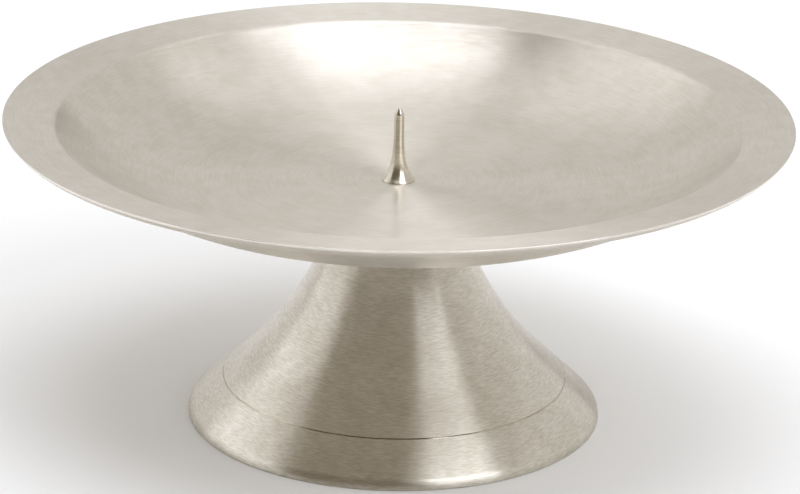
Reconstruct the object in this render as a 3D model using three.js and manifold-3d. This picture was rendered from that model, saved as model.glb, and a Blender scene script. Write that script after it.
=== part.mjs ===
// Pricket candle holder: a wide shallow dish spun from sheet metal, standing on a hollow trumpet foot.
// The pricket's stud runs through both, and a nut inside the foot clamps them together.
// Millimetres and degrees. +Z is up, and the origin is on the axis, in the plane the foot stands on.
import * as THREE from "three";
import { mergeVertices } from "three/addons/utils/BufferGeometryUtils.js";
import Module from "manifold-3d";

// Dish: its upper face runs from the rim inwards, over the shoulder and down the wall to the floor.
const rimRadius = 75;
const rimHeight = 60.3; // from the ground to the rim's top edge
const rimWidth = 9; // the nearly flat ring outside the shoulder
const rimFall = 6.7; // how steeply that ring falls inwards
const shoulderInside = 0.2; // tight bend of the underside, where ring and wall meet
const wallAngle = 44; // steepest stretch of the wall
const wallArc = 39; // hollow bend between wall and floor
const floorAngle = 2.6; // slope of the floor where the wall runs out
const seatRadius = 12; // the flat middle, under the candle
const dishThickness = 1.7;
const edgeLip = 0.1; // upright land left at the rim's edge
const edgeBevel = 3.2; // width over which the underside is cut up towards that land

// Foot: its outside runs from the ground inwards and up to the neck.
const baseRadius = 40;
const baseArc = 2.9; // turned edge at the ground
const baseBreak = 0.25; // chamfer where the edge meets the ground
const coneLean = 46.5; // of the straight stretch, from upright
const coneLength = 12.7; // along the slope
const neckRadius = 11; // at the foot's flat top
const neckChamfer = 0.8;
const footThickness = 1.2;
const grooveRise = 7.6; // height of the turned groove's middle
const grooveWidth = 0.3;
const grooveDepth = 0.15;

// Pricket: flange, flared root, slim shaft and short point, with the stud below.
const pricketHeight = 14.5; // above the dish's floor
const shaftRadius = 0.93;
const pointLength = 1.2;
const pointFlat = 0.2; // radius of the blunt tip
const flangeRadius = 3.15;
const flangeThickness = 0.2;
const flareReach = 2.3; // height in which the flare's spread falls to about a third
const studRadius = 2;
const studProud = 1.2; // thread that shows past the nut
const studChamfer = 0.4;

// Fastening inside the foot.
const boltPlay = 0.2; // radial room round the stud in every hole
const washerRadius = 4.5;
const washerThickness = 0.8;
const lockWasherRadius = 3.8;
const lockWasherThickness = 0.9;
const lockWasherGap = 0.8; // width of the slanting split
const splitSlant = 30; // of the split, from upright
const nutFlats = 7;
const nutThickness = 3.2;
const nutChamfer = 30; // of the rounded-off corners, from flat

// Facets: how far a chord may lie off its arc, and how many flats go round each kind of piece.
const chordError = 0.03;
const largeTurn = 84;
const footTurn = 72;
const smallTurn = 24;
const flareSteps = 9;
const washerTurn = 36;

const radians = THREE.MathUtils.degToRad;
const last = (list) => list[list.length - 1];

// A place on a profile: its radius and height, and the heading in which the profile runs on from there.
// Heading 0 points away from the axis and 90 degrees points up.
const place = (r, z, heading) => ({ r, z, heading });

function ahead(from, distance) {
  const { r, z, heading } = from;
  return place(r + distance * Math.cos(heading), z + distance * Math.sin(heading), heading);
}

function leftOf(from, distance) {
  const { r, z, heading } = from;
  return place(r - distance * Math.sin(heading), z + distance * Math.cos(heading), heading);
}

// The places along an arc that leaves `from` in its own heading and turns until it runs in `heading`.
function arc(from, radius, heading) {
  const turn = heading - from.heading;
  const signedRadius = radius * Math.sign(turn);
  const centre = leftOf(from, signedRadius);
  const widestStep = 2 * Math.acos(Math.max(0, 1 - chordError / radius));
  const steps = Math.max(2, Math.ceil(Math.abs(turn) / widestStep));
  return Array.from({ length: steps + 1 }, (_, i) => {
    const h = from.heading + (turn * i) / steps;
    return place(centre.r + signedRadius * Math.sin(h), centre.z - signedRadius * Math.cos(h), h);
  });
}

// The one arc that leaves `from` in its own heading and ends at a given place.
function arcTo(from, r, z) {
  const chord = Math.hypot(r - from.r, z - from.z);
  const offHeading = Math.atan2(z - from.z, r - from.r) - from.heading;
  const bend = Math.atan2(Math.sin(offHeading), Math.cos(offHeading));
  return arc(from, chord / (2 * Math.sin(Math.abs(bend))), from.heading + 2 * bend);
}

// A turned solid: the profile is spun round the axis.
function turned(profile, facets) {
  const points = profile.map(({ r, z }) => new THREE.Vector2(r, z));
  return new THREE.LatheGeometry(points, facets).rotateX(Math.PI / 2);
}

// A turned ring, whose profile goes round and meets its own start.
const turnedRing = (profile, facets) => turned([...profile, profile[0]], facets);

// The dish's upper face, from the rim's edge to the edge of the flat seat.
function dishFace() {
  const edge = place(rimRadius, rimHeight, Math.PI + radians(rimFall));
  const innerEdge = ahead(edge, rimWidth / Math.cos(radians(rimFall)));
  const shoulder = arc(innerEdge, shoulderInside + dishThickness, Math.PI + radians(wallAngle));
  const wall = arc(last(shoulder), wallArc, Math.PI + radians(floorAngle));
  const floorArc = (last(wall).r - seatRadius) / Math.sin(radians(floorAngle));
  const floor = arc(last(wall), floorArc, Math.PI);
  return { edge, bowl: [...shoulder, ...wall.slice(1), ...floor.slice(1)] };
}

const face = dishFace();
const holeRadius = studRadius + boltPlay;
const floorHeight = last(face.bowl).z;
const footTop = floorHeight - dishThickness;

// The underside follows the upper face one thickness below it, and is cut up towards the rim's edge.
function dishGeometry() {
  const underside = face.bowl.map((p) => leftOf(p, dishThickness)).reverse();
  const bevelStart = leftOf(ahead(face.edge, edgeBevel), dishThickness);
  const bevelEnd = place(rimRadius, rimHeight - edgeLip);
  const middle = [
    place(flangeRadius + boltPlay, floorHeight), // from here inwards the pricket's flange covers the seat
    place(holeRadius, floorHeight),
    place(holeRadius, footTop),
  ];
  return turnedRing([face.edge, ...face.bowl, ...middle, ...underside, bevelStart, bevelEnd], largeTurn);
}

// The foot's outside: turned edge, straight cone with its groove, and hollow sweep up to the neck.
function footGeometry() {
  const start = place(baseRadius, 0, Math.PI / 2);
  const edge = arc(start, baseArc, Math.PI / 2 + radians(coneLean));
  const coneFoot = last(edge);
  const coneTop = ahead(coneFoot, coneLength);
  const neck = arcTo(coneTop, neckRadius, footTop - neckChamfer);

  const toGroove = (grooveRise - coneFoot.z) / Math.cos(radians(coneLean));
  const groove = [
    ahead(coneFoot, toGroove - grooveWidth / 2),
    leftOf(ahead(coneFoot, toGroove), grooveDepth),
    ahead(coneFoot, toGroove + grooveWidth / 2),
  ];

  const ceiling = footTop - footThickness;
  const inside = [...edge, ...neck].map((p) => leftOf(p, footThickness));
  const below = inside.filter((p) => p.z < ceiling);
  const neckInside = ahead(last(below), (ceiling - last(below).z) / Math.sin(last(below).heading));

  const outside = edge.filter((p) => p.z > baseBreak);
  const profile = [
    place(baseRadius - baseBreak, 0),
    place(baseRadius, baseBreak),
    ...outside,
    ...groove,
    ...neck,
    place(neckRadius - neckChamfer, footTop),
    place(holeRadius, footTop),
    place(holeRadius, ceiling),
    neckInside,
    ...below.reverse(),
  ];
  return turnedRing(profile, footTurn);
}

const washerTop = footTop - footThickness;
const lockWasherTop = washerTop - washerThickness;
const nutTop = lockWasherTop - lockWasherThickness;
const studEnd = nutTop - nutThickness - studProud;

// One turned piece: flange and flared root on the dish's floor, slim shaft, point, and the stud below.
// The flare's spread dies away upwards as a logarithm gives it, with its points closer where it bends more.
function pricketGeometry() {
  const flareFoot = floorHeight + flangeThickness;
  const tip = floorHeight + pricketHeight;
  const flare = Array.from({ length: flareSteps }, (_, i) => {
    const share = 1 - i / flareSteps;
    const spread = (flangeRadius - shaftRadius) * share ** 2;
    return place(shaftRadius + spread, flareFoot - 2 * flareReach * Math.log(share));
  });
  return turned(
    [
      place(0, studEnd),
      place(studRadius - studChamfer, studEnd),
      place(studRadius, studEnd + studChamfer),
      place(studRadius, floorHeight),
      place(flangeRadius, floorHeight),
      ...flare,
      place(shaftRadius, tip - pointLength),
      place(pointFlat, tip),
      place(0, tip),
    ],
    smallTurn,
  );
}

// A plain flat ring with the bolt hole through it, hanging from a given height.
function washerGeometry(outerRadius, top, thickness) {
  const bottom = top - thickness;
  return turnedRing(
    [
      place(holeRadius, bottom),
      place(outerRadius, bottom),
      place(outerRadius, top),
      place(holeRadius, top),
    ],
    washerTurn,
  );
}

const wasm = await Module();
wasm.setup();

// A closed geometry as a solid that can be cut and joined.
function solid(geometry) {
  const bare = geometry.index ? geometry.toNonIndexed() : geometry.clone();
  bare.deleteAttribute("normal");
  bare.deleteAttribute("uv");
  const merged = mergeVertices(bare, 1e-4);
  return new wasm.Manifold(
    new wasm.Mesh({
      numProp: 3,
      vertProperties: merged.attributes.position.array,
      triVerts: new Uint32Array(merged.index.array),
    }),
  );
}

function geometryOf(body) {
  const { vertProperties, triVerts } = body.getMesh();
  const geometry = new THREE.BufferGeometry();
  geometry.setAttribute("position", new THREE.BufferAttribute(vertProperties, 3));
  geometry.setIndex(new THREE.BufferAttribute(triVerts, 1));
  geometry.computeVertexNormals();
  return geometry;
}

// The spring washer lies flat, pressed by the nut: a ring with a slanting split on one side.
function lockWasherGeometry() {
  const ring = washerGeometry(lockWasherRadius, lockWasherTop, lockWasherThickness);
  const reach = 2 * lockWasherRadius; // past the ring, outwards, up and down
  const cutter = new THREE.BoxGeometry(reach, lockWasherGap, reach)
    .rotateX(radians(splitSlant))
    .translate(reach / 2, 0, lockWasherTop - lockWasherThickness / 2);
  return geometryOf(solid(ring).subtract(solid(cutter)));
}

// The nut: a hexagon whose corners are taken down by a turned blank, with the bolt hole through it.
function nutGeometry() {
  const cornerRadius = nutFlats / Math.sqrt(3);
  const bottom = nutTop - nutThickness;
  const middle = (nutTop + bottom) / 2;
  const hexagon = new THREE.CylinderGeometry(cornerRadius, cornerRadius, nutThickness, 6)
    .rotateX(Math.PI / 2)
    .translate(0, 0, middle);
  const faceRadius = nutFlats / 2;
  const cornerFall = (cornerRadius - faceRadius) * Math.tan(radians(nutChamfer));
  const blank = turnedRing(
    [
      place(holeRadius, bottom),
      place(faceRadius, bottom),
      place(cornerRadius, bottom + cornerFall),
      place(cornerRadius, nutTop - cornerFall),
      place(faceRadius, nutTop),
      place(holeRadius, nutTop),
    ],
    washerTurn,
  );
  return geometryOf(solid(hexagon).intersect(solid(blank)));
}

// The dish and foot are brushed round the axis, and the pricket is a little brighter.
const satinNickel = { color: 0xcdc6bb, roughness: 0.34, metalness: 1 };
const brightNickel = { color: 0xc9c0ae, roughness: 0.2, metalness: 1 };
const zincPlate = { color: 0xb6b9bc, roughness: 0.4, metalness: 1 };

function piece(name, geometry, finish) {
  const mesh = new THREE.Mesh(geometry, new THREE.MeshStandardMaterial(finish));
  mesh.name = name;
  return mesh;
}

const holder = new THREE.Group();
holder.add(
  piece("dish", dishGeometry(), satinNickel),
  piece("foot", footGeometry(), satinNickel),
  piece("pricket", pricketGeometry(), brightNickel),
  piece("flat_washer", washerGeometry(washerRadius, washerTop, washerThickness), zincPlate),
  piece("lock_washer", lockWasherGeometry(), zincPlate),
  piece("hex_nut", nutGeometry(), zincPlate),
);

export default holder;
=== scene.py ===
"""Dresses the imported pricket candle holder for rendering.

The dish, foot, pricket and fastening are drawn again as fine turned forms, in the places and outer sizes of
their CAD solids. They get softened edges and the finishes of the real ones, and stand in a plain studio.
Lengths are metres, written in millimetres with mm(). Angles are radians, written in degrees with radians().
"""

import logging
from dataclasses import dataclass
from enum import Enum
from math import acos, atan2, ceil, copysign, cos, hypot, log, pi, radians, remainder, sin, sqrt, tan, tau

import bmesh
import bpy
from mathutils import Matrix, Vector


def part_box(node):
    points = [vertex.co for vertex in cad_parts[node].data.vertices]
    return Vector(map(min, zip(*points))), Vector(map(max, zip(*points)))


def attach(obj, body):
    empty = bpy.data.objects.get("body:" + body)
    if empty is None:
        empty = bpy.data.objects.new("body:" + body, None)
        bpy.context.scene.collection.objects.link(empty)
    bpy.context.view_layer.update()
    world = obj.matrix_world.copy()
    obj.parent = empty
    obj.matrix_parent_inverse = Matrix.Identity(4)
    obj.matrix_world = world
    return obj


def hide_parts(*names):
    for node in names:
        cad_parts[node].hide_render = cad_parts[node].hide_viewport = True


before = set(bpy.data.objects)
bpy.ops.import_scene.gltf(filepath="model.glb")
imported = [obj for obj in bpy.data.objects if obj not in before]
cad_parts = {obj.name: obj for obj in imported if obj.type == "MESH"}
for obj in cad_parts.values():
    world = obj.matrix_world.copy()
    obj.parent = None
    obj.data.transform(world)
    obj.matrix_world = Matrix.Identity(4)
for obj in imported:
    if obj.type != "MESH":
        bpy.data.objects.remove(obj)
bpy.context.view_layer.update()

notes = logging.getLogger("holder")

BODY = "root"  # the holder has no moving part, so every piece rides on its one body
CREASE = radians(30)  # a corner sharper than this stays crisp
SAME_POINT = 1e-7  # points closer than this, in metres, are one
NOISE_REACH = 0.14  # most of a noise pattern lies this close to its middle, 0.5


def mm(size: float) -> float:
    """Turns millimetres into metres."""
    return size / 1000


def linear(hex_colour: str) -> tuple[float, float, float, float]:
    """Turns an sRGB hex colour into the linear one that the shaders take.

    Args:
        hex_colour: the colour, such as "#d4cdc0"

    Returns:
        red, green, blue and an alpha of 1
    """
    shares = (int(hex_colour[i : i + 2], 16) / 255 for i in (1, 3, 5))
    red, green, blue = (s / 12.92 if s <= 0.04045 else ((s + 0.055) / 1.055) ** 2.4 for s in shares)
    return red, green, blue, 1.0


def add_node(
    tree: bpy.types.NodeTree,
    kind: str,
    settings: dict[str, object] | None = None,
    inputs: dict[str | int, object] | None = None,
) -> bpy.types.Node:
    """Adds a node with its settings and links.

    Args:
        tree: the tree that gets the node
        kind: the node's type, such as "ShaderNodeTexNoise"
        settings: the node's own settings by name
        inputs: for inputs by name or number, the value, or the output that feeds it

    Returns:
        the new node
    """
    node = tree.nodes.new(kind)
    for name, value in (settings or {}).items():
        setattr(node, name, value)
    for key, value in (inputs or {}).items():
        if isinstance(value, bpy.types.NodeSocket):
            tree.links.new(value, node.inputs[key])
        else:
            node.inputs[key].default_value = value
    return node


class Section:
    """The section of a turned piece, drawn as a wire in the XZ plane beside the Z axis.

    It is drawn from its tip, which has a heading: 0 leads away from the axis, and a quarter turn leads up.
    Straight stretches are extruded from the tip and bends are spun from it.
    """

    finest = mm(0.0012)  # how far a chord may lie off its bend
    corner_steps = 4  # flats that round off a softened corner

    def __init__(self, radius: float, height: float, heading: float = 0.0) -> None:
        """Starts a section.

        Args:
            radius: distance of the first point from the axis
            height: its height
            heading: the way in which the section leaves it
        """
        self.wire = bmesh.new()
        self.start = self.wire.verts.new((radius, 0.0, height))
        self.tip = self.start
        self.heading = heading
        self.centre = Vector()
        self.bend = 0.0
        self.softened: dict[bmesh.types.BMVert, float] = {}

    def line_to(self, radius: float, height: float) -> "Section":
        """Goes straight to a place.

        Args:
            radius: the place's distance from the axis
            height: its height

        Returns:
            the section, to draw on
        """
        reach = Vector((radius, 0.0, height)) - self.tip.co
        self.tip = bmesh.ops.extrude_vert_indiv(self.wire, verts=[self.tip])["verts"][0]
        bmesh.ops.translate(self.wire, verts=[self.tip], vec=reach)
        self.heading = atan2(reach.z, reach.x)
        return self

    def line(self, length: float) -> "Section":
        """Goes straight on in the heading for a length."""
        place = self.tip.co
        return self.line_to(place.x + length * cos(self.heading), place.z + length * sin(self.heading))

    def turn(self, angle: float) -> "Section":
        """Turns the heading on the spot, to the left where the angle is positive."""
        self.heading += angle
        return self

    def arc(self, bend: float, heading: float) -> "Section":
        """Bends on until it runs in a new heading, to the left where that is the larger angle.

        Args:
            bend: radius of the bend
            heading: the heading in which the bend ends

        Returns:
            the section, to draw on
        """
        angle = heading - self.heading
        left = Vector((-sin(self.heading), 0.0, cos(self.heading)))
        self.bend = bend
        self.centre = self.tip.co + copysign(bend, angle) * left
        steps = max(2, ceil(abs(angle) / (2 * acos(1 - self.finest / bend))))
        spun = bmesh.ops.spin(
            self.wire, geom=[self.tip], cent=self.centre, axis=(0.0, -1.0, 0.0), angle=angle, steps=steps
        )
        self.tip = spun["geom_last"][0]
        self.heading = heading
        return self

    def arc_to(self, radius: float, height: float) -> "Section":
        """Bends on in the one arc that leaves in the heading and ends at a place.

        Args:
            radius: the place's distance from the axis
            height: its height

        Returns:
            the section, to draw on
        """
        reach = Vector((radius, 0.0, height)) - self.tip.co
        half_turn = remainder(atan2(reach.z, reach.x) - self.heading, tau)
        return self.arc(reach.length / (2 * sin(abs(half_turn))), self.heading + 2 * half_turn)

    def soften(self, width: float) -> "Section":
        """Marks the corner at the tip as one that is rounded off by a width on each side."""
        self.softened[self.tip] = width
        return self

    def close(self) -> "Section":
        """Joins the tip to the start, which makes the section a ring beside the axis."""
        self.wire.edges.new((self.tip, self.start))
        return self

    def spin(self, steps: int, part: float = tau) -> bmesh.types.BMesh:
        """Rounds the marked corners and spins the section round the Z axis.

        Args:
            steps: how many flats go round the piece
            part: how far round it goes

        Returns:
            the turned shape, with its normals outwards
        """
        for corner, width in self.softened.items():
            bmesh.ops.bevel(
                self.wire,
                geom=[corner],
                offset=width,
                affect="VERTICES",
                segments=self.corner_steps,
                profile=0.5,
                material=-1,
            )
        bmesh.ops.spin(
            self.wire,
            geom=self.wire.verts[:] + self.wire.edges[:],
            cent=(0.0, 0.0, 0.0),
            axis=(0.0, 0.0, 1.0),
            angle=part,
            steps=steps,
            use_merge=part == tau,
        )
        bmesh.ops.remove_doubles(self.wire, verts=self.wire.verts[:], dist=SAME_POINT)
        bmesh.ops.holes_fill(self.wire, edges=[edge for edge in self.wire.edges if edge.is_boundary])
        bmesh.ops.recalc_face_normals(self.wire, faces=self.wire.faces[:])
        return self.wire


class Run(Enum):
    """How the length along a section is told from radius and height. The value is the sum that tells it."""

    OUT_AND_UP = "ADD"  # a surface that rises as it leaves the axis
    OUT_AND_DOWN = "SUBTRACT"  # one that falls as it leaves the axis


@dataclass(frozen=True)
class TurnedNickel:
    """Nickel plate on a turned or spun surface that was brushed or polished while it turned.

    The marks of the abrasive run round the axis. They spread a reflection across themselves, so a lamp shows
    as a soft fan towards the axis, and close up they show as fine bright and dark lines.
    """

    name: str
    run: Run
    tone: str  # nickel reflects a warm, slightly yellow grey
    dull_tone: str  # where the plate is a little thinner or has been touched
    roughness: float
    spread: float  # how much rougher the surface is across its marks than along them
    mark_spacing: float
    mark_length: float
    mark_depth: float
    roughness_change: float = 0.05  # the share by which the marks raise and lower the roughness
    patch_size: float = mm(22)  # of the faint clouds in the polish
    cloudiness: float = 0.5  # the clouds' share in the change of tone, and the rest is the marks'

    def material(self) -> bpy.types.Material:
        """Makes the finish.

        Returns:
            a material that reads the place on the piece from its object coordinates
        """
        material = bpy.data.materials.new(self.name)
        material.use_nodes = True
        tree = material.node_tree
        shader = tree.nodes["Principled BSDF"]
        shader.inputs["Metallic"].default_value = 1.0
        shader.inputs["Anisotropic"].default_value = self.spread
        shader.inputs["Anisotropic Rotation"].default_value = 0.25  # a quarter turn: across the marks

        place = add_node(tree, "ShaderNodeTexCoord").outputs["Object"]
        part = add_node(tree, "ShaderNodeSeparateXYZ", inputs={"Vector": place}).outputs
        flat = add_node(tree, "ShaderNodeCombineXYZ", inputs={"X": part["X"], "Y": part["Y"]}).outputs[0]
        radius = add_node(tree, "ShaderNodeVectorMath", {"operation": "LENGTH"}, {0: flat}).outputs["Value"]
        run = add_node(
            tree, "ShaderNodeMath", {"operation": self.run.value}, {0: radius, 1: part["Z"]}
        ).outputs[0]
        lie = add_node(
            tree, "ShaderNodeCombineXYZ", inputs={"X": part["X"], "Y": part["Y"], "Z": run}
        ).outputs[0]

        marks = self.pattern(tree, lie, (self.mark_length, self.mark_length, self.mark_spacing))
        clouds = self.pattern(tree, place, (self.patch_size,) * 3)

        dullness = add_node(
            tree, "ShaderNodeMix", inputs={"Factor": self.cloudiness, "A": marks, "B": clouds}
        )
        tone = add_node(
            tree,
            "ShaderNodeMix",
            {"data_type": "RGBA"},
            {"Factor": dullness.outputs["Result"], "A": linear(self.tone), "B": linear(self.dull_tone)},
        )
        tree.links.new(tone.outputs["Result"], shader.inputs["Base Color"])

        rough = add_node(
            tree,
            "ShaderNodeMapRange",
            inputs={
                "Value": marks,
                "To Min": self.roughness * (1 - self.roughness_change),
                "To Max": self.roughness * (1 + self.roughness_change),
            },
        )
        tree.links.new(rough.outputs["Result"], shader.inputs["Roughness"])

        bump = add_node(tree, "ShaderNodeBump", inputs={"Distance": self.mark_depth, "Height": marks})
        tree.links.new(bump.outputs["Normal"], shader.inputs["Normal"])

        round_axis = add_node(
            tree, "ShaderNodeVectorMath", {"operation": "CROSS_PRODUCT"}, {0: (0.0, 0.0, 1.0), 1: flat}
        ).outputs["Vector"]
        tangent = add_node(tree, "ShaderNodeVectorMath", {"operation": "NORMALIZE"}, {0: round_axis})
        tree.links.new(tangent.outputs["Vector"], shader.inputs["Tangent"])
        return material

    @staticmethod
    def pattern(
        tree: bpy.types.NodeTree, place: bpy.types.NodeSocket, size: tuple[float, float, float]
    ) -> bpy.types.NodeSocket:
        """Adds an irregular pattern of a real size.

        Args:
            tree: the tree that gets it
            place: the coordinates that it follows, in metres
            size: width of one feature along each coordinate

        Returns:
            the pattern, from 0 to 1
        """
        scaled = add_node(tree, "ShaderNodeVectorMath", {"operation": "DIVIDE"}, {0: place, 1: size})
        noise = add_node(
            tree,
            "ShaderNodeTexNoise",
            inputs={"Vector": scaled.outputs["Vector"], "Scale": 1.0, "Detail": 2.0, "Roughness": 0.6},
        )
        # The noise keeps close to its middle, so that is stretched, which makes the marks lie dense.
        stretched = add_node(
            tree,
            "ShaderNodeMapRange",
            {"interpolation_type": "SMOOTHSTEP"},
            {
                "Value": noise.outputs["Fac"],
                "From Min": 0.5 - NOISE_REACH,
                "From Max": 0.5 + NOISE_REACH,
            },
        )
        return stretched.outputs["Result"]


# The brushing of the dish and foot. Most of its marks lie some 0.05 mm apart, too fine to show in the
# render, so they are drawn coarser, at the size of the streaks and dashes that stand out in the photograph.
SATIN_DISH = TurnedNickel(
    name="brushed satin nickel, dish",
    run=Run.OUT_AND_UP,
    tone="#d7d1c7",
    dull_tone="#cec7ba",
    roughness=0.35,
    spread=0.92,
    mark_spacing=mm(0.4),
    mark_length=mm(4.5),
    mark_depth=mm(0.005),
    patch_size=mm(5),
)
SATIN_FOOT = TurnedNickel(
    name="brushed satin nickel, foot",
    run=Run.OUT_AND_DOWN,
    tone="#dbd5ca",
    dull_tone="#c1baab",
    roughness=0.3,
    spread=0.95,
    mark_spacing=mm(0.2),
    mark_length=mm(1.7),
    mark_depth=mm(0.006),
    patch_size=mm(6),
    cloudiness=0.25,
)
# Inside, the plate lies on the bare spun sheet, with the broad grooves of the roller, and has no brushing.
SPUN_INSIDE = TurnedNickel(
    name="nickel on bare spun sheet",
    run=Run.OUT_AND_DOWN,
    tone="#bdb5a6",
    dull_tone="#a59d8f",
    roughness=0.46,
    spread=0.35,
    mark_spacing=mm(1.6),
    mark_length=mm(60),
    mark_depth=mm(0.015),
)
# The pricket is turned from bar and plated without brushing, so it is closer to a mirror.
BRIGHT_PRICKET = TurnedNickel(
    name="bright nickel on turned bar",
    run=Run.OUT_AND_UP,
    tone="#cec7b9",
    dull_tone="#bdb5a5",
    roughness=0.24,
    spread=0.5,
    mark_spacing=mm(0.25),
    mark_length=mm(3),
    mark_depth=mm(0.001),
    patch_size=mm(3),
)
# The rim's sharp corner is burnished by handling, which lowers its roughness, and its lighter tone is a
# painted highlight along the edge.
BURNISHED_CORNER_WITH_PAINTED_HIGHLIGHT = TurnedNickel(
    name="burnished nickel with painted highlight, rim corner",
    run=Run.OUT_AND_UP,
    # lighter than the dish's own tone: a painted highlight along the rim's edge
    tone="#ece7df",
    dull_tone="#dcd6cc",
    roughness=0.22,
    spread=0.3,
    mark_spacing=mm(0.5),
    mark_length=mm(4),
    mark_depth=mm(0.0007),
)
# The groove is cut last, after the brushing, which leaves it glossy; its darker tone is painted shade in the
# groove.
CUT_GROOVE_WITH_PAINTED_SHADE = TurnedNickel(
    name="bright cut nickel with painted shade, groove",
    run=Run.OUT_AND_DOWN,
    tone="#c9bfae",
    dull_tone="#a89c8a",
    roughness=0.14,
    spread=0.3,
    mark_spacing=mm(0.5),
    mark_length=mm(4),
    mark_depth=mm(0.0007),
)


@dataclass(frozen=True)
class ZincPlate:
    """Zinc plate on pressed steel fasteners: a cool, slightly cloudy grey with a fine crystalline grain."""

    name: str = "zinc plated steel"
    tone: str = "#b9bfc4"
    cloud_tone: str = "#a8abaa"
    roughness: float = 0.38
    roughness_change: float = 0.08  # by which the grain raises and lowers it
    cloud_size: float = mm(2.5)
    grain_size: float = mm(0.12)
    grain_depth: float = mm(0.002)

    def material(self) -> bpy.types.Material:
        """Makes the finish.

        Returns:
            a material that reads the place on the piece from its object coordinates
        """
        material = bpy.data.materials.new(self.name)
        material.use_nodes = True
        tree = material.node_tree
        shader = tree.nodes["Principled BSDF"]
        shader.inputs["Metallic"].default_value = 1.0
        place = add_node(tree, "ShaderNodeTexCoord").outputs["Object"]
        clouds, grain = (
            add_node(tree, "ShaderNodeTexNoise", inputs={"Vector": place, "Scale": 1 / size, "Detail": 2.0})
            for size in (self.cloud_size, self.grain_size)
        )
        tone = add_node(
            tree,
            "ShaderNodeMix",
            {"data_type": "RGBA"},
            {"Factor": clouds.outputs["Fac"], "A": linear(self.tone), "B": linear(self.cloud_tone)},
        )
        tree.links.new(tone.outputs["Result"], shader.inputs["Base Color"])
        rough = add_node(
            tree,
            "ShaderNodeMapRange",
            inputs={
                "Value": grain.outputs["Fac"],
                "To Min": self.roughness - self.roughness_change,
                "To Max": self.roughness + self.roughness_change,
            },
        )
        tree.links.new(rough.outputs["Result"], shader.inputs["Roughness"])
        bump = add_node(
            tree, "ShaderNodeBump", inputs={"Distance": self.grain_depth, "Height": grain.outputs["Fac"]}
        )
        tree.links.new(bump.outputs["Normal"], shader.inputs["Normal"])
        return material


class Slot(Enum):
    """The record's material slots."""

    SATIN_NICKEL = "satin_nickel"
    BRIGHT_NICKEL = "bright_nickel"
    ZINC_PLATED_STEEL = "zinc_plated_steel"


def make_piece(
    name: str,
    shape: bmesh.types.BMesh,
    finishes: list[bpy.types.Material],
    stands_for: str | None = None,
) -> bpy.types.Object:
    """Makes a dressed piece of the holder from its shape.

    Args:
        name: the piece's name
        shape: its shape, in place, which is used up
        finishes: its materials, in the order of the faces' material numbers
        stands_for: the CAD node that it is shown for, if there is one

    Returns:
        the piece, riding on the holder's body
    """
    for face in shape.faces:
        face.smooth = True
    for edge in shape.edges:
        edge.smooth = edge.calc_face_angle(0.0) < CREASE
    mesh = bpy.data.meshes.new(name)
    shape.to_mesh(mesh)
    shape.free()
    for finish in finishes:
        mesh.materials.append(finish)
    piece = bpy.data.objects.new(name, mesh)
    bpy.context.scene.collection.objects.link(piece)
    even = piece.modifiers.new("shade flats flat", "WEIGHTED_NORMAL")
    even.keep_sharp = True
    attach(piece, BODY)
    if stands_for:
        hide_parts(stands_for)
    notes.info("%s: %d faces", name, len(mesh.polygons))
    return piece


@dataclass
class Dish:
    """The dish, spun from sheet: nearly flat rim, tight shoulder, hollow wall, sloping floor, flat seat."""

    rim_width: float = mm(9)
    rim_fall: float = radians(6.7)
    shoulder_inside: float = mm(0.2)
    wall_angle: float = radians(44)
    wall_bend: float = mm(39)
    floor_angle: float = radians(2.6)
    seat_radius: float = mm(12)
    hole_radius: float = mm(2.2)
    sheet: float = mm(1.7)
    lip: float = mm(0.2)
    edge_round: float = mm(3.2)  # width of the rounding under the rim's edge
    lip_softness: float = mm(0.09)
    flats: int = 288

    def section(self) -> Section:
        """Draws the underside outwards, round up to the thin edge, and the upper face back in to the hole.

        Returns:
            the closed section
        """
        low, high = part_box("dish")
        rim, seat_height = high.x, low.z + self.sheet
        shoulder_bend = self.shoulder_inside + self.sheet
        shoulder_run = shoulder_bend * (sin(self.wall_angle) - sin(self.rim_fall))
        wall_run = self.wall_bend * (sin(self.wall_angle) - sin(self.floor_angle))
        floor_edge = rim - self.rim_width - shoulder_run - wall_run
        floor_bend = (floor_edge - self.seat_radius) / sin(self.floor_angle)

        section = Section(self.hole_radius, low.z)
        section.line_to(self.seat_radius, low.z)
        section.arc(floor_bend + self.sheet, self.floor_angle)
        section.arc(self.wall_bend + self.sheet, self.wall_angle)
        section.arc(self.shoulder_inside, self.rim_fall)
        section.line(self.rim_width / cos(self.rim_fall) - self.edge_round)
        section.arc_to(rim, high.z - self.lip).soften(self.lip_softness)
        section.line_to(rim, high.z).soften(self.lip_softness)
        section.line_to(rim - self.rim_width, high.z - self.rim_width * tan(self.rim_fall))
        section.turn(tau)
        section.arc(shoulder_bend, pi + self.wall_angle)
        section.arc(self.wall_bend, pi + self.floor_angle)
        section.arc(floor_bend, pi)
        section.line_to(self.hole_radius, seat_height)
        return section.close()

    def build(self) -> None:
        """Makes the dish, and dresses it with its rim's corner burnished and lightened as a painted
        highlight.
        """
        shape = self.section().spin(self.flats)
        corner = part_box("dish")[1].x - self.lip
        # Faces at the rim's outer edge get the corner finish, whose lighter tone is a painted highlight.
        for face in shape.faces:
            face.material_index = int(hypot(*face.calc_center_median().xy) > corner)
        finishes = [SATIN_DISH.material(), BURNISHED_CORNER_WITH_PAINTED_HIGHLIGHT.material()]
        make_piece("satin_dish", shape, finishes, "dish")


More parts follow.
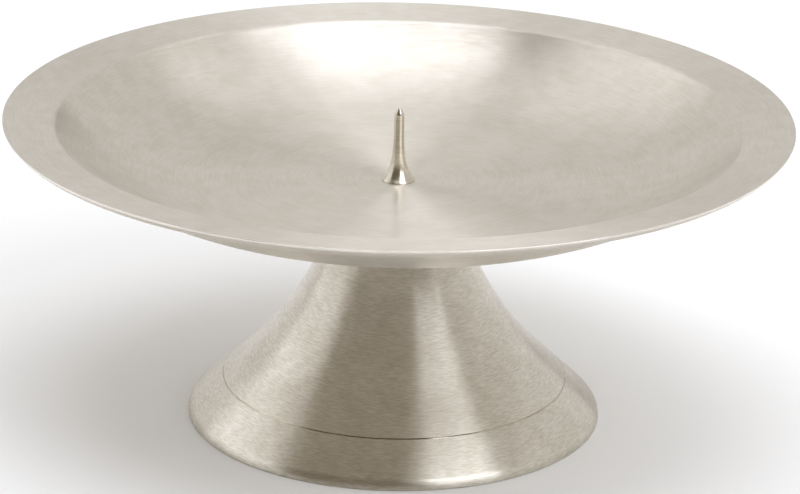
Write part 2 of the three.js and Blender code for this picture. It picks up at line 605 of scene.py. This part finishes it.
@dataclass
class Foot:
    """The hollow trumpet foot, spun from sheet, with a turned edge and one fine groove."""

    edge_bend: float = mm(2.9)
    cone_lean: float = radians(46.5)
    cone_length: float = mm(12.7)
    neck_radius: float = mm(11)
    neck_chamfer: float = mm(0.8)
    hole_radius: float = mm(2.2)
    sheet: float = mm(1.2)
    groove_rise: float = mm(7.6)
    groove_width: float = mm(0.3)
    groove_depth: float = mm(0.13)
    groove_ledge: float = mm(0.05)
    groove_softness: float = mm(0.015)
    edge_softness: float = mm(0.2)
    inside_facing: float = -0.5  # the outward share of its normal, below which a face is on the inside
    bottom_facing: float = -0.9  # the upward share, below which it is on the bottom
    flats: int = 256

    def section(self) -> Section:
        """Draws the outside up to the flat top, and the inside down again.

        Returns:
            the closed section
        """
        low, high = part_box("foot")
        ceiling = high.z - self.sheet
        cone = pi / 2 + self.cone_lean
        section = Section(high.x, low.z, pi / 2).soften(self.edge_softness)
        section.arc(self.edge_bend, cone)

        # The groove has a steep ledge below and a wide flank above, as its tool leaves it.
        before = (self.groove_rise - section.tip.co.z) / cos(self.cone_lean) - self.groove_width / 2
        section.line(before).soften(self.groove_softness)
        for along, inwards in (
            (self.groove_ledge, self.groove_depth),
            (self.groove_width - self.groove_ledge, -self.groove_depth),
        ):
            slant = atan2(inwards, along)
            section.turn(slant).line(hypot(along, inwards)).soften(self.groove_softness).turn(-slant)
        section.line(self.cone_length - before - self.groove_width)

        section.arc_to(self.neck_radius, high.z - self.neck_chamfer)
        sweep, inner_bend = section.centre, section.bend + self.sheet
        section.line_to(self.neck_radius - self.neck_chamfer, high.z)
        section.line_to(self.hole_radius, high.z)
        section.line_to(self.hole_radius, ceiling)

        # The inside bends round the same centre, one sheet's thickness further from it, and down again.
        section.line_to(sweep.x - sqrt(inner_bend**2 - (sweep.z - ceiling) ** 2), ceiling)
        section.heading = -acos((sweep.z - ceiling) / inner_bend)
        section.arc(inner_bend, cone - pi)
        section.line(self.cone_length)
        section.arc(self.edge_bend - self.sheet, -pi / 2)
        return section.close()

    def finish_number(self, face: bmesh.types.BMFace) -> int:
        """Tells which finish a face has.

        Args:
            face: a face of the foot

        Returns:
            0 for the brushed outside, 1 for what faces the axis or the ground, 2 for the groove
        """
        middle = face.calc_center_median()
        outwards = Vector((middle.x, middle.y, 0.0)).normalized()
        if face.normal.dot(outwards) < self.inside_facing or face.normal.z < self.bottom_facing:
            return 1
        return 2 if abs(middle.z - self.groove_rise) < self.groove_width / 2 * cos(self.cone_lean) else 0

    def build(self) -> None:
        """Makes the foot and dresses its outside, its inside and its groove."""
        shape = self.section().spin(self.flats)
        for face in shape.faces:
            face.material_index = self.finish_number(face)
        # The groove's finish is darker in tone, as painted shade in the groove.
        finishes = [SATIN_FOOT.material(), SPUN_INSIDE.material(), CUT_GROOVE_WITH_PAINTED_SHADE.material()]
        make_piece("satin_foot", shape, finishes, "foot")


@dataclass
class Pricket:
    """The pricket, turned from bar: a flange on a flared root, a slim shaft, a point, and the stud below."""

    shaft_radius: float = mm(0.93)
    point_length: float = mm(1.2)
    point_softness: float = mm(0.5)
    tip_radius: float = mm(0.2)
    tip_softness: float = mm(0.15)
    flange_thickness: float = mm(0.2)
    flange_softness: float = mm(0.08)
    flare_reach: float = mm(2.3)
    flare_steps: int = 16
    stud_radius: float = mm(2)
    thread_root: float = mm(1.6)
    thread_pitch: float = mm(0.7)
    thread_crest: float = mm(0.09)
    thread_foot: float = mm(0.644)  # width of the ridge at its base, which is inside the bar
    thread_set_in: float = mm(0.05)
    stud_chamfer: float = mm(0.4)
    flats: int = 96
    thread_flats: int = 32

    def section(self) -> Section:
        """Draws the turned bar from the stud's end up to the tip.

        Returns:
            the section, with both ends on the axis
        """
        low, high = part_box("pricket")
        seat_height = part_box("dish")[0].z + Dish.sheet
        flange_radius = high.x
        flare_foot = seat_height + self.flange_thickness
        section = Section(0.0, low.z)
        section.line_to(self.thread_root - self.stud_chamfer / 2, low.z)
        section.line_to(self.thread_root, low.z + self.stud_chamfer / 2)
        section.line_to(self.thread_root, seat_height)
        section.line_to(flange_radius, seat_height)
        section.line_to(flange_radius, flare_foot).soften(self.flange_softness)
        for step in range(self.flare_steps - 1, 0, -1):
            share = step / self.flare_steps
            spread = (flange_radius - self.shaft_radius) * share**2
            section.line_to(self.shaft_radius + spread, flare_foot - 2 * self.flare_reach * log(share))
        section.line_to(self.shaft_radius, high.z - self.point_length).soften(self.point_softness)
        section.line_to(self.tip_radius, high.z).soften(self.tip_softness)
        section.line_to(0.0, high.z)
        return section

    def thread(self) -> bmesh.types.BMesh:
        """Winds the stud's thread up from its end to the dish, as one ridge that is set into the bar.

        Returns:
            the closed ridge
        """
        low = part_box("pricket")[0]
        first_turn = low.z + self.stud_chamfer + self.thread_pitch / 2
        turns = int((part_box("dish")[0].z - first_turn) / self.thread_pitch)
        set_in = self.thread_root - self.thread_set_in
        ridge = Section(set_in, first_turn - self.thread_foot / 2)
        ridge.line_to(self.stud_radius, first_turn - self.thread_crest / 2)
        ridge.line_to(self.stud_radius, first_turn + self.thread_crest / 2)
        ridge.line_to(set_in, first_turn + self.thread_foot / 2)
        wire = ridge.close().wire
        bmesh.ops.spin(
            wire,
            geom=wire.verts[:] + wire.edges[:],
            cent=(0.0, 0.0, 0.0),
            axis=(0.0, 0.0, 1.0),
            dvec=(0.0, 0.0, self.thread_pitch / self.thread_flats),
            angle=turns * tau,
            steps=turns * self.thread_flats,
        )
        bmesh.ops.holes_fill(wire, edges=[edge for edge in wire.edges if edge.is_boundary])
        bmesh.ops.recalc_face_normals(wire, faces=wire.faces[:])
        return wire

    def build(self) -> None:
        """Makes the turned bar and its thread, and dresses both."""
        bright = BRIGHT_PRICKET.material()
        bar = self.section().spin(self.flats)
        make_piece("turned_pricket", bar, [bright], "pricket")
        make_piece("stud_thread", self.thread(), [bright])


@dataclass
class Fastening:
    """What clamps the foot and the dish on the stud: a flat washer, a split spring washer and a nut."""

    bore: float = mm(2.05)
    washer_softness: float = mm(0.12)
    spring_softness: float = mm(0.06)
    split_gap: float = mm(0.92)
    split_slant: float = radians(30)
    countersink: float = mm(0.3)
    nut_chamfer: float = radians(30)
    nut_corner_softness: float = mm(0.08)
    nut_corner_steps: int = 3
    flats: int = 96

    def ring(self, node: str, softness: float) -> Section:
        """Draws the section of a flat ring in a CAD node's place.

        Args:
            node: the node
            softness: how far its outer corners are rounded

        Returns:
            the closed section
        """
        low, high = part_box(node)
        outer = -low.x
        section = Section(self.bore, low.z)
        section.line_to(outer, low.z).soften(softness)
        section.line_to(outer, high.z).soften(softness)
        section.line_to(self.bore, high.z)
        return section.close()

    def spring_washer(self) -> bmesh.types.BMesh:
        """Bends the spring washer's ring from one side of the split to the other, and slants its ends.

        Returns:
            the washer, split towards +X
        """
        low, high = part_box("lock_washer")
        middle_radius = (self.bore - low.x) / 2
        gap_angle = self.split_gap / middle_radius
        washer = self.ring("lock_washer", self.spring_softness).spin(self.flats, tau - gap_angle)
        middle = (low.z + high.z) / 2
        lean = (high.z - low.z) * tan(self.split_slant) / middle_radius
        top = [vert for vert in washer.verts if vert.co.z > middle]
        bottom = [vert for vert in washer.verts if vert.co.z <= middle]
        for verts, angle in ((bottom, gap_angle / 2 + lean / 2), (top, gap_angle / 2 - lean / 2)):
            turn = Matrix.Rotation(angle, 3, "Z")
            bmesh.ops.rotate(washer, verts=verts, cent=(0.0, 0.0, 0.0), matrix=turn)
        return washer

    def nut(self) -> bmesh.types.BMesh:
        """Turns the nut's blank, with its chamfers and countersinks, and cuts the six flats off it.

        Returns:
            the nut, with its corners softened
        """
        low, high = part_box("hex_nut")
        half_flats = high.x
        corner = half_flats / cos(pi / 6)
        fall = (corner - half_flats) * tan(self.nut_chamfer)
        blank = Section(self.bore, low.z + self.countersink)
        blank.line_to(self.bore + self.countersink, low.z)
        blank.line_to(half_flats, low.z)
        blank.line_to(corner, low.z + fall)
        blank.line_to(corner, high.z - fall)
        blank.line_to(half_flats, high.z)
        blank.line_to(self.bore + self.countersink, high.z)
        blank.line_to(self.bore, high.z - self.countersink)
        nut = blank.close().spin(self.flats)
        for side in range(6):
            outwards = Matrix.Rotation(side * pi / 3, 3, "Z") @ Vector((1.0, 0.0, 0.0))
            cut = bmesh.ops.bisect_plane(
                nut,
                geom=nut.verts[:] + nut.edges[:] + nut.faces[:],
                dist=SAME_POINT,
                plane_co=outwards * half_flats,
                plane_no=outwards,
                clear_outer=True,
            )
            outline = [part for part in cut["geom_cut"] if isinstance(part, bmesh.types.BMEdge)]
            bmesh.ops.contextual_create(nut, geom=outline)
        bmesh.ops.recalc_face_normals(nut, faces=nut.faces[:])
        corners = [
            edge
            for edge in nut.edges
            if edge.calc_face_angle(0.0) > CREASE and abs(edge.verts[0].co.z - edge.verts[1].co.z) > fall
        ]
        bmesh.ops.bevel(
            nut,
            geom=corners,
            offset=self.nut_corner_softness,
            affect="EDGES",
            segments=self.nut_corner_steps,
            profile=0.5,
            material=-1,
        )
        return nut

    def build(self) -> None:
        """Makes the two washers and the nut, and dresses them."""
        zinc = [ZincPlate().material()]
        washer = self.ring("flat_washer", self.washer_softness).spin(self.flats)
        make_piece("plain_washer", washer, zinc, "flat_washer")
        make_piece("split_washer", self.spring_washer(), zinc, "lock_washer")
        make_piece("clamp_nut", self.nut(), zinc, "hex_nut")


def facing(azimuth: float, elevation: float) -> Matrix:
    """Turns the Z axis towards a place round the holder.

    Args:
        azimuth: the place's angle from the front, to the right where positive
        elevation: its angle above the ground

    Returns:
        the turn, which keeps the X axis level
    """
    return Matrix.Rotation(azimuth, 4, "Z") @ Matrix.Rotation(pi / 2 - elevation, 4, "X")


class Outline(Enum):
    """The outline of a softbox. The value is the kind of area light that has it."""

    SQUARE = "RECTANGLE"
    ROUND = "ELLIPSE"


@dataclass(frozen=True)
class Softbox:
    """A soft flat light that looks at the holder."""

    name: str
    azimuth: float
    elevation: float
    width: float  # the angles that it fills, seen from the holder
    height: float
    brightness: float  # 1 is white paper
    outline: Outline = Outline.SQUARE
    tone: str = "#f0f5ff"  # daylight, a little cooler than the room
    distance: float = mm(2500)

    def hang(self, aim: Vector) -> None:
        """Hangs the light in its place.

        Args:
            aim: the point that it looks at
        """
        light = bpy.data.lights.new(self.name, "AREA")
        light.shape = self.outline.value
        light.color = linear(self.tone)[:3]
        light.size = 2 * self.distance * tan(self.width / 2)
        light.size_y = 2 * self.distance * tan(self.height / 2)
        filled = pi / 4 if self.outline is Outline.ROUND else 1.0
        light.energy = pi * filled * light.size * light.size_y * self.brightness
        lamp = bpy.data.objects.new(self.name, light)
        turn = facing(self.azimuth, self.elevation)
        lamp.matrix_world = Matrix.Translation(aim) @ turn @ Matrix.Translation((0.0, 0.0, self.distance))
        bpy.context.scene.collection.objects.link(lamp)


@dataclass(frozen=True)
class DarkEnd:
    """A dark part of the room, round one direction from the holder."""

    azimuth: float
    elevation: float
    core: float  # how far off that direction it is darkest
    reach: float  # how far off the room is pale again
    tone: str


@dataclass
class Studio:
    """A pale floor in a pale room with two dark ends, and a few softboxes."""

    aim_height: float = mm(35)  # of the point that the softboxes look at
    floor_side: float = mm(5000)
    floor_drop: float = mm(0.05)
    floor_tone: str = "#f4f3f1"
    floor_roughness: float = 0.9
    floor_gloss: float = 0.1  # paper has little of the gloss that a smooth surface has
    room_tone: str = "#f8f7f6"
    room_brightness: float = 0.87
    # The wide one shows as the dark bands on the foot, and the narrow one under the dish's left shoulder.
    dark_ends: tuple[DarkEnd, ...] = (
        DarkEnd(radians(-4), radians(35), radians(50), radians(60), "#7f7463"),
        DarkEnd(radians(160), radians(0), radians(4), radians(14), "#7f7463"),
    )
    softboxes: tuple[Softbox, ...] = (
        Softbox("key softbox", radians(44), radians(42), radians(34), radians(39), 3.55),
        Softbox("overhead softbox", radians(-4), radians(84), radians(42), radians(42), 2.9, Outline.ROUND),
        Softbox("left softbox", radians(-98), radians(20), radians(50), radians(34), 0.45),
        Softbox("left back softbox", radians(-115), radians(46), radians(60), radians(42), 0.38),
        Softbox("back softbox", radians(150), radians(55), radians(62), radians(17), 0.5),
    )

    def lay_floor(self) -> None:
        """Lays the floor just under the ground plane, so that the foot stands on it and not in it."""
        shape = bmesh.new()
        ground = Matrix.Translation((0.0, 0.0, -self.floor_drop))
        bmesh.ops.create_grid(shape, x_segments=1, y_segments=1, size=self.floor_side / 2, matrix=ground)
        mesh = bpy.data.meshes.new("floor")
        shape.to_mesh(mesh)
        shape.free()
        paper = bpy.data.materials.new("pale matt paper")
        paper.use_nodes = True
        shader = paper.node_tree.nodes["Principled BSDF"]
        shader.inputs["Base Color"].default_value = linear(self.floor_tone)
        shader.inputs["Roughness"].default_value = self.floor_roughness
        shader.inputs["Specular IOR Level"].default_value = self.floor_gloss
        mesh.materials.append(paper)
        floor = bpy.data.objects.new("floor", mesh)
        bpy.context.scene.collection.objects.link(floor)

    def light_room(self) -> None:
        """Lights the room evenly, but for its dark ends."""
        room = bpy.data.worlds.new("pale room")
        room.use_nodes = True
        tree = room.node_tree
        way = add_node(tree, "ShaderNodeTexCoord").outputs["Object"]
        tone = linear(self.room_tone)
        for end in self.dark_ends:
            middle = facing(end.azimuth, end.elevation) @ Vector((0.0, 0.0, 1.0))
            nearness = add_node(
                tree, "ShaderNodeVectorMath", {"operation": "DOT_PRODUCT"}, {0: way, 1: middle}
            )
            darkness = add_node(
                tree,
                "ShaderNodeMapRange",
                {"interpolation_type": "SMOOTHSTEP"},
                {"Value": nearness.outputs["Value"], "From Min": cos(end.reach), "From Max": cos(end.core)},
            )
            tone = add_node(
                tree,
                "ShaderNodeMix",
                {"data_type": "RGBA"},
                {"Factor": darkness.outputs["Result"], "A": tone, "B": linear(end.tone)},
            ).outputs["Result"]
        tree.links.new(tone, tree.nodes["Background"].inputs["Color"])
        tree.nodes["Background"].inputs["Strength"].default_value = self.room_brightness
        bpy.context.scene.world = room

    def build(self) -> None:
        """Lays the floor, lights the room and hangs the softboxes."""
        self.lay_floor()
        self.light_room()
        for softbox in self.softboxes:
            softbox.hang(Vector((0.0, 0.0, self.aim_height)))
        bpy.context.scene.view_settings.view_transform = "Standard"


@dataclass(frozen=True)
class PhotoView:
    """The photograph's camera, as its ellipses give it: a long lens that looks down a little."""

    lens: float = 164.0  # in millimetres, on a sensor 36 mm wide
    elevation: float = radians(20.25)
    roll: float = radians(1.2)
    distance: float = mm(701)
    clip_start: float = mm(10)
    aim: Vector = Vector((mm(0.64), 0.0, mm(33.46)))

    def build(self) -> None:
        """Sets the camera up."""
        camera = bpy.data.cameras.new("photo view")
        camera.lens = self.lens
        camera.clip_start = self.clip_start
        holder = bpy.data.objects.new("photo view", camera)
        turn = facing(0.0, self.elevation) @ Matrix.Rotation(self.roll, 4, "Z")
        away = Matrix.Translation((0.0, 0.0, self.distance))
        holder.matrix_world = Matrix.Translation(self.aim) @ turn @ away
        bpy.context.scene.collection.objects.link(holder)
        bpy.context.scene.camera = holder


def main() -> None:
    """Builds the holder's sub-assemblies in order, and the studio round them."""
    logging.basicConfig(level=logging.INFO, format="%(message)s")
    for assembly in (Dish(), Foot(), Pricket(), Fastening(), Studio(), PhotoView()):
        assembly.build()
        notes.info("built: %s", type(assembly).__name__)


if __name__ == "__main__":
    main()
